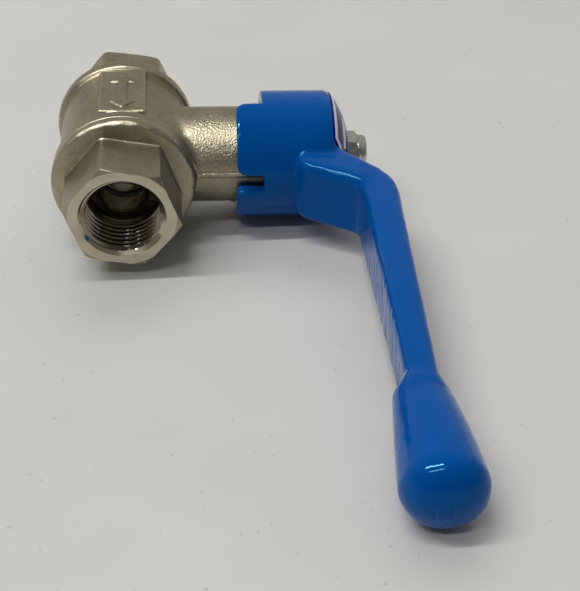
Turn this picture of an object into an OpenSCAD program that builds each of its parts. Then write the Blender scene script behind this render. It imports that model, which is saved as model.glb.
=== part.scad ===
// Lever-operated ball valve for a water service line, lying on its side.
// The pipe runs along Y, the stem along X and the lever points to -Y when the valve is open.
// The origin is the centre of the ball, where the pipe axis and the stem axis cross.

/* [Ports] */
// Diameter of the flow passage through the ball
flow_d = 12; // [11:0.25:12.5]
// Minor diameter of the G1/2 pipe thread, the wall of each port
port_minor_d = 18.631; // [18.6:0.001:18.8]
// Diameter of the countersink at the mouth of each port
port_mouth_d = 21.7; // [21.2:0.1:22]
// Length of each port, from its mouth to its inner shoulder
port_depth = 14; // [12.5:0.25:14]
// Width across flats of the hexagon on each port
hex_af = 25.8; // [25.5:0.1:26.2]

/* [Body] */
// Distance from the stem axis to the inlet face
inlet_reach = 31; // [30.5:0.25:33]
// Distance from the stem axis to the outlet face
outlet_reach = 33.4; // [33:0.1:36]
// Diameter of the barrel around the ball
barrel_d = 33.8; // [33.4:0.1:34.2]
// Diameter of the flange on the inlet end cap
cap_flange_d = 36.5; // [36.2:0.1:37]
// Diameter of the two flanges of the barrel
barrel_flange_d = 36.1; // [35.8:0.1:36.6]
// Diameter of the neck around the stem
neck_d = 24.8; // [24:0.1:25.2]
// Height of the neck's top above the pipe axis
neck_top = 38; // [37:0.25:38.5]

/* [Ball and stem] */
// Diameter of the ball
ball_d = 21; // [20.8:0.1:21]
// Diameter of the stem inside the lower guide bore
stem_lower_d = 9; // [8.8:0.1:9]
// Diameter of the stem through the packing and the gland nut
stem_upper_d = 8; // [7.8:0.1:8]
// Width across the two flats at the top of the stem
stem_flats = 6.6; // [6.3:0.1:6.8]
// Thread diameter at the end of the stem
stem_thread_d = 6; // [5.9:0.1:6]

/* [Handle] */
// Diameter of the handle's hub
hub_d = 33; // [32.6:0.1:34]
// Height of the hub's outer rim above the pipe axis
hub_rim = 53.9; // [53.5:0.1:54.3]
// Height of the dome's crown above the pipe axis
dome_top = 59.2; // [59:0.1:59.5]
// Distance from the stem axis to the end of the lever
lever_reach = 132.3; // [120:0.5:145]
// Width of the arm and of the wide end of the bar
arm_w = 16.6; // [14:0.1:17]
// Diameter of the round end of the grip
grip_d = 18; // [16:0.1:19]
// Diameter of the grip where the bar enters it
grip_neck_d = 12.2; // [12:0.1:13]

/* [Hidden] */
$fn = 96;

// Clearances: of a turning fit, of a still joint, of an O-ring in its groove, and in open air.
run_gap = 0.05;
still_gap = 0.03;
ring_gap = 0.02;
air_gap = 0.3;
cut = 1;

// Colours
nickel = [0.62, 0.60, 0.55];
brass = [0.78, 0.66, 0.38];
chrome = [0.80, 0.81, 0.83];
ptfe = [0.93, 0.93, 0.90];
rubber = [0.10, 0.10, 0.11];
blue = [0.02, 0.29, 0.64];
navy = [0.03, 0.05, 0.30];
zinc = [0.72, 0.74, 0.76];
nylon = [0.25, 0.40, 0.62];

// Ports and the end cap, along Y
port_r = port_minor_d / 2;
mouth_r = port_mouth_d / 2;
mouth_depth = mouth_r - port_r;
passage_r = flow_d / 2 + air_gap;
cap_hex_turn = 9.7;
rear_hex_turn = 8;
hex_face_margin = 0.5;
hex_face_r = hex_af / 2 + hex_face_margin;
hex_bevel_angle = 30;
cap_flange_front = 15.6;
cap_flange_back = 12.4;
flange_bevel = 1.2;
cap_spigot_r = 13.5;
cap_spigot_end = 5;
spigot_gap = 0.4;
ring_groove_r = 12.6;
ring_pocket_r = 14.4;
ring_land = 1.6;
body_ring_r = 13.5;
body_ring_wire = 0.78;

// Barrel of the body, along Y
barrel_r = barrel_d / 2;
chamber_r = 11.6;
chamber_end = 6;
front_flange_end = 9.4;
rear_flange_front = 15;
rear_flange_back = 19.6;
barrel_flange_r = barrel_flange_d / 2;
cove = 1.4;
cove_steps = 6;
pad_half_x = 5.9;
pad_front = 7.8;
pad_back = 14.2;
pad_top = 17.3;
arrow_top = 17.7;
arrow_middle = 2.4;
arrow_half = 8.6;
arrow_head = 3.6;
arrow_head_half_w = 3.4;
arrow_shaft_half_w = 1.1;

// Seats around the ball, along Y
ball_r = ball_d / 2;
seat_front = 6.4;
seat_back = 11;
seat_r = 11;
seat_relief = 0.6;
seat_bore_r = passage_r + seat_relief;

// Stem stack, along X
slot_depth = 2.8;
slot_floor = ball_r - slot_depth;
slot_half = 2;
tang_half = slot_half - run_gap;
tang_half_len = 4;
tang_gap = 0.2;
tang_bottom = slot_floor + tang_gap;
tang_top = 12;
stem_lower_r = stem_lower_d / 2;
stem_upper_r = stem_upper_d / 2;
guide_r = stem_lower_r + run_gap;
groove_depth = 1.2;
groove_r = stem_lower_r - groove_depth;
groove_w = 1.7;
lower_groove_x = 14;
upper_groove_x = 17;
stem_ring_wire = 0.59;
washer_bottom = 20;
washer_top = 20.8;
collar_r = 6.2;
collar_top = 23;
stack_r = 6.5;
packing_h = 2;
packing_count = 3;
packing_top = collar_top + packing_count * packing_h;
gland_ring_h = 2;
gland_ring_top = packing_top + gland_ring_h;
gland_thread_r = 8;
gland_hex_af = 19;
gland_top = 43.5;
flats_bottom = 46;
nut_seat = 57;
thread_relief = 0.4;
thread_bottom = nut_seat - thread_relief;
stem_top = 63.2;

// Hub and lever
hub_r = hub_d / 2;
hub_cavity_r = 13.3;
tab_bottom = 28.6;
skirt_bottom = 35.6;
notch_centre = 1.3;
notch_w = 4.4;
lug_r = 15.5;
lug_bottom = 28;
lug_gap = 0.6;
lug_top = skirt_bottom - lug_gap;
ridge_turn = 4;
ridge_w = 1.1;
ridge_h = 0.35;
ridge_root = 2;
disc_h = 0.5;
rim_inset = 0.5;
rim_r = hub_r - rim_inset;
rim_bevel = 0.4;
arc_steps = 12;
dome_h = dome_top - hub_rim;
dome_r = (rim_r * rim_r + dome_h * dome_h) / (2 * dome_h);
dome_centre = dome_top - dome_r;
disc_chord = 11.8;
disc_hole_r = 7;
arm_root_in = [43.4, -14];
arm_corner = [43.4, -18.2];
arm_root_out = [55.2, -10];
elbow_in = [58.9, -27.6];
elbow_out_start = [64.3, -20.8];
elbow_out_mid = [68, -26.8];
elbow_out_end = [67.7, -36];
bar_in_end = [59.3, -102];
bar_out_end = [66.2, -102];
bar_end_half_w = 5.4;
elbow_steps = 8;
grip_x = 62.8;
grip_r = grip_d / 2;
grip_start = 98;
grip_edge_r = 6;
grip_edge_turn = 60;
grip_end_r = (grip_r - grip_edge_r) / cos(grip_edge_turn) + grip_edge_r;
grip_end_y = lever_reach - grip_end_r;
grip_edge_y = grip_end_y + (grip_end_r - grip_edge_r) * sin(grip_edge_turn);
grip_flare_start = 93;
grip_flare_r = 3.6;

// Nut and washer on the end of the lever
nut_af = 10;
nut_h = 6;
nut_washer_h = 0.6;
nut_washer_r = 6;
nut_hex_h = 3.7;
nut_collar_r = 4.7;
nut_bottom = nut_seat + nut_washer_h;
stem_thread_r = stem_thread_d / 2;
insert_r = 4;
insert_h = 1.9;
insert_floor = 0.2;
insert_bottom = nut_bottom + nut_hex_h + insert_floor;

// Points of a curve from p0 to p2, pulled towards p1.
function curve(p0, p1, p2, steps) =
    [for (i = [0:steps]) let (t = i / steps)
        (1 - t) * (1 - t) * p0 + 2 * t * (1 - t) * p1 + t * t * p2];

// Points of an arc about a centre, from one angle to another.
function arc(centre, r, from, to) =
    [for (i = [0:arc_steps]) let (a = from + (to - from) * i / arc_steps)
        centre + r * [cos(a), sin(a)]];

module along_x() {
    rotate([0, 90, 0]) children();
}

module along_y() {
    rotate([-90, 0, 0]) children();
}

module rod_x(r, from, to) {
    translate([from, 0, 0]) along_x() cylinder(r = r, h = to - from);
}

module rod_y(r, from, to) {
    translate([0, from, 0]) along_y() cylinder(r = r, h = to - from);
}

module cone_y(r_from, r_to, from, to) {
    translate([0, from, 0]) along_y() cylinder(r1 = r_from, r2 = r_to, h = to - from);
}

module tube_x(r_in, r_out, from, to) {
    difference() {
        rod_x(r_out, from, to);
        rod_x(r_in, from - cut, to + cut);
    }
}

// Hexagonal prism along Y with corners from the +X direction, turned about the pipe.
module hex_y(across_flats, turn, from, to) {
    rotate([0, turn, 0]) translate([0, from, 0]) along_y()
        cylinder(r = across_flats / 2 / cos(30), h = to - from, $fn = 6);
}

module hex_x(across_flats, from, to) {
    translate([from, 0, 0]) along_x()
        cylinder(r = across_flats / 2 / cos(30), h = to - from, $fn = 6);
}

// Port hexagon whose corners are turned down by a cone at its face; towards +Y.
module port_hex(turn, from, to) {
    intersection() {
        hex_y(hex_af, turn, from, to);
        cone_y(hex_face_r + (to - from) / tan(hex_bevel_angle), hex_face_r, from, to);
    }
}

// Threaded socket with a countersunk mouth at face, open towards +Y.
module port_bore(face) {
    rod_y(port_r, face - port_depth, face + cut);
    cone_y(port_r, mouth_r, face - mouth_depth, face);
}

module o_ring(ring_r, wire_r) {
    rotate_extrude() translate([ring_r, 0]) circle(r = wire_r, $fn = 48);
}

// Ring that carries the ball; its front face is a hollow sphere just clear of the ball.
module seat_ring() {
    difference() {
        rod_y(seat_r, seat_front, seat_back);
        rod_y(seat_bore_r, seat_front - cut, seat_back + cut);
        sphere(r = ball_r + run_gap);
    }
}

// Points of a cove from the barrel up to the face of a flange, towards +Y or towards -Y.
function flange_cove(face, towards) =
    curve([barrel_r, face - towards * cove], [barrel_r, face], [barrel_flange_r, face], cove_steps);

// Outline of the barrel in radius and Y, between its two flanges.
module barrel_outline() {
    front = flange_cove(-front_flange_end, -1);
    polygon(concat([[0, -cap_flange_back], [barrel_flange_r, -cap_flange_back]],
                   [for (i = [cove_steps:-1:0]) front[i]],
                   flange_cove(rear_flange_front, 1),
                   [[barrel_flange_r, rear_flange_back - flange_bevel],
                    [barrel_flange_r - flange_bevel, rear_flange_back],
                    [0, rear_flange_back]]));
}

// Double-headed arrow along Y, a generic mark for a valve that passes flow both ways.
module flow_arrow() {
    shaft_end = arrow_half - arrow_head;
    linear_extrude(height = arrow_top - pad_top + cut)
        polygon([[0, arrow_half], [arrow_head_half_w, shaft_end], [arrow_shaft_half_w, shaft_end],
                 [arrow_shaft_half_w, -shaft_end], [arrow_head_half_w, -shaft_end],
                 [0, -arrow_half], [-arrow_head_half_w, -shaft_end],
                 [-arrow_shaft_half_w, -shaft_end], [-arrow_shaft_half_w, shaft_end],
                 [-arrow_head_half_w, shaft_end]]);
}

// Casting seam along the neck, on both sides of it.
module neck_ridges() {
    for (side = [0, 180])
        rotate([side - ridge_turn, 0, 0])
            translate([barrel_r - ridge_root, -neck_d / 2 - ridge_h, -ridge_w / 2])
                cube([neck_top - barrel_r, ridge_root, ridge_w]);
}

// Quarter collar that the hub's half skirt strikes when open and when closed.
module stop_lug() {
    intersection() {
        rod_x(lug_r, lug_bottom, lug_top);
        translate([lug_bottom, air_gap, -lug_r]) cube([lug_top - lug_bottom, lug_r, lug_r - air_gap]);
    }
}

module body_outside() {
    along_y() rotate_extrude() barrel_outline();
    port_hex(rear_hex_turn, rear_flange_back - cut, outlet_reach);
    rod_x(neck_d / 2, 0, neck_top);
    neck_ridges();
    stop_lug();
    translate([-pad_half_x, -pad_front, 0]) cube([2 * pad_half_x, pad_front + pad_back, pad_top]);
    translate([0, arrow_middle, pad_top - cut]) flow_arrow();
}

module body_inside() {
    rod_y(cap_flange_d / 2 + air_gap, -cap_flange_front - cut, -cap_flange_back);
    rod_y(cap_spigot_r + still_gap, -cap_flange_back - cut, -cap_spigot_end + spigot_gap);
    rod_y(ring_pocket_r, -cap_flange_back - cut, -cap_flange_back + ring_land);
    rod_y(chamber_r, -cap_spigot_end, chamber_end);
    rod_y(seat_r + still_gap, 0, seat_back + still_gap);
    rod_y(passage_r, 0, outlet_reach);
    port_bore(outlet_reach);
    rod_x(guide_r, 0, washer_bottom + cut);
    rod_x(stack_r, washer_bottom, neck_top + cut);
    rod_x(gland_thread_r + still_gap, gland_ring_top, neck_top + cut);
}

module valve_body() {
    color(nickel) difference() {
        body_outside();
        body_inside();
    }
}

module end_cap() {
    color(nickel) difference() {
        union() {
            mirror([0, 1, 0]) port_hex(cap_hex_turn, cap_flange_front - cut, inlet_reach);
            cone_y(cap_flange_d / 2 - flange_bevel, cap_flange_d / 2,
                   -cap_flange_front, -cap_flange_front + flange_bevel);
            rod_y(cap_flange_d / 2, -cap_flange_front + flange_bevel, -cap_flange_back);
            rod_y(ring_groove_r, -cap_flange_front, -cap_spigot_end);
            rod_y(cap_spigot_r, -cap_flange_back + ring_land, -cap_spigot_end);
        }
        mirror([0, 1, 0]) port_bore(inlet_reach);
        rod_y(passage_r, -inlet_reach, 0);
        rod_y(seat_r + still_gap, -seat_back - still_gap, 0);
    }
}

module body_o_ring() {
    color(rubber) translate([0, -cap_flange_back + ring_land / 2, 0]) along_y()
        o_ring(body_ring_r, body_ring_wire);
}

module ball() {
    color(chrome) difference() {
        sphere(r = ball_r);
        rod_y(flow_d / 2, -ball_r, ball_r);
        translate([slot_floor, -ball_r, -slot_half]) cube([ball_r, 2 * ball_r, 2 * slot_half]);
    }
}

module inlet_seat() {
    color(ptfe) mirror([0, 1, 0]) seat_ring();
}

module outlet_seat() {
    color(ptfe) seat_ring();
}

module stem() {
    color(brass) difference() {
        union() {
            translate([tang_bottom, -tang_half_len, -tang_half])
                cube([tang_top - tang_bottom, 2 * tang_half_len, 2 * tang_half]);
            rod_x(stem_lower_r, tang_top, washer_top + cut);
            rod_x(collar_r, washer_top + run_gap, collar_top - run_gap);
            rod_x(stem_upper_r, washer_top + cut, flats_bottom);
            intersection() {
                rod_x(stem_upper_r, flats_bottom - cut, thread_bottom);
                translate([flats_bottom - cut, -stem_upper_r, -stem_flats / 2])
                    cube([thread_bottom - flats_bottom + cut, stem_upper_d, stem_flats]);
            }
            rod_x(stem_thread_r, thread_bottom - cut, stem_top);
        }
        for (x = [lower_groove_x, upper_groove_x])
            tube_x(groove_r, stem_lower_r + cut, x, x + groove_w);
    }
}

module stem_thrust_washer() {
    color(ptfe) tube_x(stem_lower_r + run_gap, stack_r - still_gap, washer_bottom, washer_top);
}

module stem_o_ring(groove_x) {
    color(rubber) translate([groove_x + groove_w / 2, 0, 0]) along_x()
        o_ring(groove_r + ring_gap + stem_ring_wire, stem_ring_wire);
}

module stem_o_ring_lower() {
    stem_o_ring(lower_groove_x);
}

module stem_o_ring_upper() {
    stem_o_ring(upper_groove_x);
}

module packing_ring(index) {
    bottom = collar_top + index * packing_h;
    color(ptfe) tube_x(stem_upper_r + run_gap, stack_r - still_gap, bottom, bottom + packing_h);
}

module packing_ring_lower() {
    packing_ring(0);
}

module packing_ring_middle() {
    packing_ring(1);
}

module packing_ring_upper() {
    packing_ring(2);
}

module gland_ring() {
    color(brass) tube_x(stem_upper_r + run_gap, stack_r - still_gap, packing_top, gland_ring_top);
}

module gland_nut() {
    color(brass) difference() {
        union() {
            rod_x(gland_thread_r, gland_ring_top, neck_top + cut);
            hex_x(gland_hex_af, neck_top, gland_top);
        }
        rod_x(stem_upper_r + run_gap, gland_ring_top - cut, gland_top + cut);
    }
}

// Side outline of arm and bar in X and Y.
module lever_outline() {
    polygon(concat([arm_root_out, arm_root_in, arm_corner, elbow_in, bar_in_end, bar_out_end],
                   curve(elbow_out_end, elbow_out_mid, elbow_out_start, elbow_steps)));
}

// Width outline of arm and bar in Y and Z.
module lever_width_outline() {
    polygon([[0, -arm_w / 2], [elbow_in[1], -arm_w / 2], [bar_in_end[1], -bar_end_half_w],
             [bar_in_end[1], bar_end_half_w], [elbow_in[1], arm_w / 2], [0, arm_w / 2]]);
}

module lever_bar() {
    intersection() {
        translate([0, 0, -arm_w]) linear_extrude(height = 2 * arm_w) lever_outline();
        rotate([90, 0, 90]) linear_extrude(height = 2 * grip_x) lever_width_outline();
    }
}

// Club-shaped grip, turned about its own axis, with a round edge and a flatter round end.
module lever_grip() {
    edge = arc([grip_r - grip_edge_r, grip_edge_y], grip_edge_r, 0, grip_edge_turn);
    end = arc([0, grip_end_y], grip_end_r, grip_edge_turn, 90);
    translate([grip_x, 0, 0]) rotate([90, 0, 0]) rotate_extrude()
        polygon(concat([[0, grip_flare_start], [grip_flare_r, grip_flare_start],
                        [grip_neck_d / 2, grip_start]],
                       edge, [for (i = [1:arc_steps]) end[i]]));
}

// Points of the dome in radius and X, from the rim to the crown, sunk by a depth.
function dome_arc(depth) =
    let (r = dome_r - depth)
    arc([0, dome_centre], r, acos(rim_r / r), 90);

module hub_outside() {
    along_x() rotate_extrude()
        polygon(concat([[0, tab_bottom], [hub_r, tab_bottom], [hub_r, hub_rim - rim_bevel],
                        [hub_r - rim_bevel, hub_rim]], dome_arc(0)));
}

// Shallow recess in the dome that the badge plate lies in.
module badge_recess() {
    difference() {
        along_x() rotate_extrude()
            polygon(concat([[0, dome_top + cut], [rim_r, dome_top + cut]], dome_arc(disc_h)));
        translate([hub_rim - hub_r, -disc_chord - hub_r, -hub_r]) cube([hub_d, hub_r, hub_d]);
    }
}

module lever_handle() {
    color(blue) difference() {
        union() {
            hub_outside();
            lever_bar();
            lever_grip();
        }
        badge_recess();
        rod_x(hub_cavity_r, tab_bottom - cut, flats_bottom);
        translate([tab_bottom - cut, 0, -hub_r - cut])
            cube([skirt_bottom - tab_bottom + cut, hub_r + cut, hub_d + 2 * cut]);
        rotate([-notch_centre, 0, 0]) translate([tab_bottom - cut, -hub_r - cut, -notch_w / 2])
            cube([skirt_bottom - tab_bottom + cut, hub_r, notch_w]);
        rod_x(disc_hole_r, nut_seat, dome_top + cut);
        intersection() {
            rod_x(stem_upper_r + run_gap, flats_bottom - cut, nut_seat + cut);
            translate([0, -hub_r, -stem_flats / 2 - run_gap])
                cube([dome_top, hub_d, stem_flats + 2 * run_gap]);
        }
    }
}

// Domed badge plate on the hub, cut straight where the arm begins.
module name_disc() {
    chord = disc_chord - still_gap;
    color(navy) difference() {
        along_x() rotate_extrude()
            polygon(concat(dome_arc(0), [for (i = [arc_steps:-1:0]) dome_arc(disc_h - ring_gap)[i]]));
        rod_x(disc_hole_r, hub_rim, dome_top + cut);
        tube_x(rim_r - still_gap, hub_r, skirt_bottom, dome_top);
        translate([hub_rim - hub_r, -chord - hub_r, -hub_r]) cube([hub_d, hub_r, hub_d]);
    }
}

module handle_washer() {
    color(zinc) tube_x(stem_thread_r + run_gap, nut_washer_r, nut_seat, nut_seat + nut_washer_h);
}

// Self-locking nut: hexagon below, round collar above with a pocket for the nylon insert.
module handle_nut() {
    color(zinc) difference() {
        union() {
            hex_x(nut_af, nut_bottom, nut_bottom + nut_hex_h);
            rod_x(nut_collar_r, nut_bottom + nut_hex_h - cut, nut_bottom + nut_h);
        }
        rod_x(stem_thread_r + run_gap, nut_bottom - cut, nut_bottom + nut_h + cut);
        rod_x(insert_r, insert_bottom, insert_bottom + insert_h);
    }
}

module nut_insert() {
    color(nylon) tube_x(stem_thread_r + ring_gap, insert_r - ring_gap,
                        insert_bottom + ring_gap, insert_bottom + insert_h - ring_gap);
}

valve_body();
end_cap();
body_o_ring();
ball();
inlet_seat();
outlet_seat();
stem();
stem_thrust_washer();
stem_o_ring_lower();
stem_o_ring_upper();
packing_ring_lower();
packing_ring_middle();
packing_ring_upper();
gland_ring();
gland_nut();
lever_handle();
name_disc();
handle_washer();
handle_nut();
nut_insert();
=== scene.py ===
"""Looks for the lever ball valve: cast and turned meshes, finishes, floor, light and camera.

Lengths inside this script are in millimetres in the row frame (X along the stem, Y along the pipe,
Z up) and become metres when a mesh is made.
"""

import math

import bmesh
import bpy
import numpy as np
from mathutils import Matrix, Vector, noise


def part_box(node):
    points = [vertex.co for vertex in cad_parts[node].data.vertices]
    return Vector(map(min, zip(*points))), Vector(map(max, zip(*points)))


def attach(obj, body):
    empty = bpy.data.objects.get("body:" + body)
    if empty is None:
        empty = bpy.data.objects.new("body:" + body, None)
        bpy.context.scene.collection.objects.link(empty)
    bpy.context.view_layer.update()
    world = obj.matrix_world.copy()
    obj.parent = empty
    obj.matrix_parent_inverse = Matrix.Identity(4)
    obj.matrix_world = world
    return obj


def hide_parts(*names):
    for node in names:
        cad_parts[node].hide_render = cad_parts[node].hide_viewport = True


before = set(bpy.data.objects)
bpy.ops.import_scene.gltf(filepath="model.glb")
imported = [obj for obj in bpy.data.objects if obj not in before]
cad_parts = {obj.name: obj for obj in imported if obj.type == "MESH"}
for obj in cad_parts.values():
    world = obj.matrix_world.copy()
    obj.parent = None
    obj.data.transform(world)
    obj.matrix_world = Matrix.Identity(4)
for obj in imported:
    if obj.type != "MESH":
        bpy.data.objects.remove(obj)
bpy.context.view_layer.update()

MM = 0.001


def cad_box(node):
    """Lowest and highest corner of a CAD node, in millimetres."""
    low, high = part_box(node)
    return np.array(low) / MM, np.array(high) / MM


# ---------------------------------------------------------------- sizes

BODY_LOW, BODY_HIGH = cad_box("valve_body")
CAP_LOW, CAP_HIGH = cad_box("end_cap")
HANDLE_LOW, HANDLE_HIGH = cad_box("lever_handle")
NUT_LOW, NUT_HIGH = cad_box("handle_nut")

# pipe side: heights are along Y, radii about the pipe axis
INLET_FACE = CAP_LOW[1]
OUTLET_FACE = BODY_HIGH[1]
CAP_FLANGE_R = CAP_HIGH[2] - 0.02    # just inside the CAD box
SPIGOT_END = CAP_HIGH[1]
CAP_FLANGE_FRONT = -15.6
CAP_FLANGE_BACK = -12.4
COLLAR_END = -9.4
REAR_FLANGE_R = -BODY_LOW[0]
REAR_FLANGE_FRONT = 15.0
REAR_FLANGE_BACK = 19.6
BARREL_R = 16.9
NECK_R = 12.4
NECK_TOP = BODY_HIGH[0]
HEX_HALF = 12.9
HEX_FACE_R = 13.4
CHAMFER = math.radians(30)
CAP_HEX_TURN = math.radians(-9.7)
REAR_HEX_TURN = math.radians(-8.0)
PORT_MINOR_R = 9.3155
PORT_MAJOR_R = 10.4775
PORT_PITCH = 1.814
PORT_MOUTH_R = 10.85
PORT_DEPTH = 14.0
PORT_GROOVE_R = 9.75
OUTLET_WALL_R = 11.28
PASSAGE_R = 6.3
SEAT_R = 11.03
SEAT_BACK = 11.03
SPIGOT_R = 13.5
SPIGOT_UNDERCUT_R = 12.6
# bores of the body: radius, from, to
PIPE_BORES = ((13.53, -20, -4.6), (11.6, -5, 6), (SEAT_R, 0, SEAT_BACK),
              (PASSAGE_R, 0, OUTLET_FACE), (11.3, OUTLET_FACE - PORT_DEPTH - 1, 40))
STEM_BORES = ((4.55, 0, 21), (6.5, 20, 40), (8.03, 31, 40))
PAD_LOW, PAD_HIGH = (-5.9, -7.8, 0), (5.9, 14.2, 17.25)
ARROW_Z, ARROW_HALF_H = 17.0, 0.62
LUG_R, LUG_BOTTOM = 15.5, 28.0
SEAM_TURN = math.radians(4)
SEAM_HALF_W, SEAM_H = 0.45, 0.32

# stem side: heights are along X, radii about the stem axis
HUB_R = HANDLE_HIGH[1]
TAB_BOTTOM = HANDLE_LOW[0]
SKIRT_BOTTOM = 35.6
HUB_RIM = 53.9
DOME_TOP = 59.2
DOME_RIM_R = 16.0
DOME_H = DOME_TOP - HUB_RIM
DOME_R = (DOME_RIM_R ** 2 + DOME_H ** 2) / (2 * DOME_H)
DOME_CENTRE = DOME_TOP - DOME_R
BADGE_H = 0.5
BADGE_HOLE_R = 7.0
BADGE_CHORD = 11.77
CAVITY_R = 13.3
CAVITY_TOP = 46.0
NUT_SEAT = 57.0
TAB_EDGES = (9, 82), (-90, -6.5)    # degrees from the arm, above and below the notch
TAB_CORNERS = 3.0, 2.0
UNROLLED_R = 15.0
STEM_SLOT_R, STEM_SLOT_HALF_W = 4.05, 3.35

# lever: the grip is turned about a line along Y
ARM_INNER_X = 43.1
ARM_CORNER_R = 3.6
ARM_HALF_W = 8.4
ARM_NARROWING = 2.5, 3.1    # of its half width, on the upper and the lower side
ELBOW_Y, BAR_LENGTH = -27.6, 74.4
GRIP_X = 62.8
GRIP_R = HANDLE_HIGH[0] - GRIP_X - 0.08
GRIP_EDGE_R = 6.0
GRIP_EDGE_TURN = math.radians(60)
GRIP_END = HANDLE_LOW[1] + 0.22
GRIP_END_R = (GRIP_R - GRIP_EDGE_R) / math.cos(GRIP_EDGE_TURN) + GRIP_EDGE_R
GRIP_END_Y = GRIP_END + GRIP_END_R
GRIP_EDGE_Y = GRIP_END_Y - (GRIP_END_R - GRIP_EDGE_R) * math.sin(GRIP_EDGE_TURN)
GRIP_START_Y = -98.0
GRIP_START_R = 6.1
GRIP_LEAN = 0.06    # how far the round end leans outwards, per millimetre
SCAR_LEAN = 0.42    # the same lean where the scar lies, in millimetres


# ---------------------------------------------------------------- distance fields

def rod(radial, along, radius, low, high, edge=0.3):
    """Distance to a round bar with rounded rims, from its radial and axial coordinates."""
    across = radial - (radius - edge)
    beyond = np.abs(along - (low + high) / 2) - ((high - low) / 2 - edge)
    inside = np.minimum(np.maximum(across, beyond), 0)
    return inside + np.hypot(np.maximum(across, 0), np.maximum(beyond, 0)) - edge


def block(p, low, high, edge=0.3):
    """Distance to a box with rounded edges."""
    low, high = np.array(low), np.array(high)
    q = np.abs(p - (low + high) / 2) - ((high - low) / 2 - edge)
    return np.linalg.norm(np.maximum(q, 0), axis=-1) + np.minimum(q.max(axis=-1), 0) - edge


def join(a, b, soft):
    """Union of two distances, with a fillet of about that width."""
    t = np.clip(0.5 + 0.5 * (b - a) / soft, 0, 1)
    return b + (a - b) * t - soft * t * (1 - t)


def both(a, b, soft):
    """Intersection of two distances, with a rounded edge."""
    return -join(-a, -b, soft)


def without(a, b, soft):
    """The first shape less the second, with a rounded edge."""
    return -join(-a, b, soft)


def hexagon(u, v, half, turn, soft=0.8):
    """Distance to a hexagonal bar; turn is the angle of one corner."""
    d = None
    for k in range(3):
        a = turn + math.radians(30 + 60 * k)
        side = np.abs(u * math.cos(a) + v * math.sin(a)) - half
        d = side if d is None else both(d, side, soft)
    return d


def outline(u, v, points):
    """Signed distance to a closed outline in a plane."""
    pts = np.array(points, float)
    nearest = np.full(u.shape, 1e9)
    inside = np.zeros(u.shape, bool)
    for (ax, ay), (bx, by) in zip(pts, np.roll(pts, -1, axis=0)):
        ex, ey = bx - ax, by - ay
        t = np.clip(((u - ax) * ex + (v - ay) * ey) / (ex * ex + ey * ey), 0, 1)
        nearest = np.minimum(nearest, np.hypot(u - ax - t * ex, v - ay - t * ey))
        if ey != 0:
            side = (v >= ay) != (v >= by)
            inside ^= side & (u < ax + (v - ay) / ey * ex)
    return np.where(inside, -nearest, nearest)


def curve(p0, p1, p2, steps=8):
    """Points of a curve from p0 to p2 pulled towards p1."""
    p0, p1, p2 = (np.array(p, float) for p in (p0, p1, p2))
    t = np.linspace(0, 1, steps + 1)[:, None]
    return list((1 - t) ** 2 * p0 + 2 * t * (1 - t) * p1 + t ** 2 * p2)


# ---------------------------------------------------------------- meshes

def add_mesh(name, points, faces):
    """A flat-shaded object from points in millimetres."""
    mesh = bpy.data.meshes.new(name)
    mesh.from_pydata((np.asarray(points) * MM).tolist(), [], faces)
    obj = bpy.data.objects.new(name, mesh)
    bpy.context.scene.collection.objects.link(obj)
    return obj


def make_mesh(name, points, faces, sharp_angle=None):
    """A smooth-shaded object from points in millimetres."""
    obj = add_mesh(name, points, np.asarray(faces).tolist())
    mesh = obj.data
    mesh.polygons.foreach_set("use_smooth", np.ones(len(mesh.polygons), bool))
    if sharp_angle:
        mesh.set_sharp_from_angle(angle=math.radians(sharp_angle))
    mesh.update()
    return obj


def surface_net(field, low, step):
    """Points and quads of the surface where a sampled field changes sign."""
    cells = tuple(n - 1 for n in field.shape)
    count = np.zeros(cells, np.float32)
    total = np.zeros(cells + (3,), np.float32)
    crossings = []
    for axis in range(3):
        u, v = [a for a in range(3) if a != axis]
        a = np.take(field, range(cells[axis]), axis)
        b = np.take(field, range(1, cells[axis] + 1), axis)
        cross = (a < 0) != (b < 0)
        crossings.append((cross, a < 0))
        t = np.where(cross, a / np.where(cross, a - b, 1), 0)
        for du in (0, 1):
            for dv in (0, 1):
                part = [slice(None)] * 3
                part[u] = slice(du, du + cells[u])
                part[v] = slice(dv, dv + cells[v])
                part = tuple(part)
                count += cross[part]
                total[..., axis] += t[part]
                total[..., u] += cross[part] * du
                total[..., v] += cross[part] * dv
    active = count > 0
    index = np.full(cells, -1)
    index[active] = np.arange(active.sum())
    places = np.argwhere(active) + total[active] / count[active][:, None]
    quads = []
    for axis, (cross, low_inside) in enumerate(crossings):
        u, v = (axis + 1) % 3, (axis + 2) % 3
        at = np.argwhere(cross)
        at = at[(at[:, u] > 0) & (at[:, v] > 0) & (at[:, u] < cells[u]) & (at[:, v] < cells[v])]
        flip = ~low_inside[tuple(at.T)]
        ring = []
        for du, dv in ((1, 1), (0, 1), (0, 0), (1, 0)):
            near = at.copy()
            near[:, u] -= du
            near[:, v] -= dv
            ring.append(index[tuple(near.T)])
        quad = np.stack(ring, axis=1)
        quad[flip] = quad[flip][:, ::-1]
        quads.append(quad)
    return np.array(low) + places * step, np.concatenate(quads)


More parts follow.
